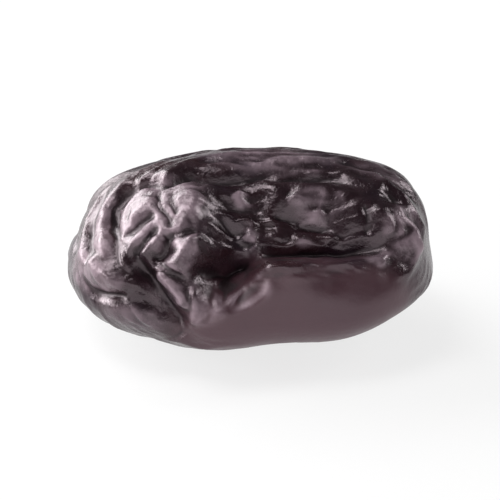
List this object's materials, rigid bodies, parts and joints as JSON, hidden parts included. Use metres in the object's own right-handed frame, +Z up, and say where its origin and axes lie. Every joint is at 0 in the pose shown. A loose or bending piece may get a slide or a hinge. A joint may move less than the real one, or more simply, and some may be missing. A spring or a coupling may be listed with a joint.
{
  "type": "prune",
  "caption": "Dried prune: one wrinkled, folded, glossy near-black fruit with a smooth plump flank, lying on a small flat spot.",
  "frame": {"origin": "on the surface that the prune lies on, under the middle of its bounding box", "axes": "+Z up out of that surface, the prune's shortest extent; +X along its longest extent, towards its narrower end; -Y is the front, with the smooth flank"},
  "size_m": [0.038, 0.028, 0.0182],
  "materials": {
    "prune_skin": "near-black purple-brown dried fruit skin, semi-gloss with a waxy sheen on the ridges"
  },
  "bodies": {
    "root": {"prune": "prune_skin"}
  },
  "joints": []
}
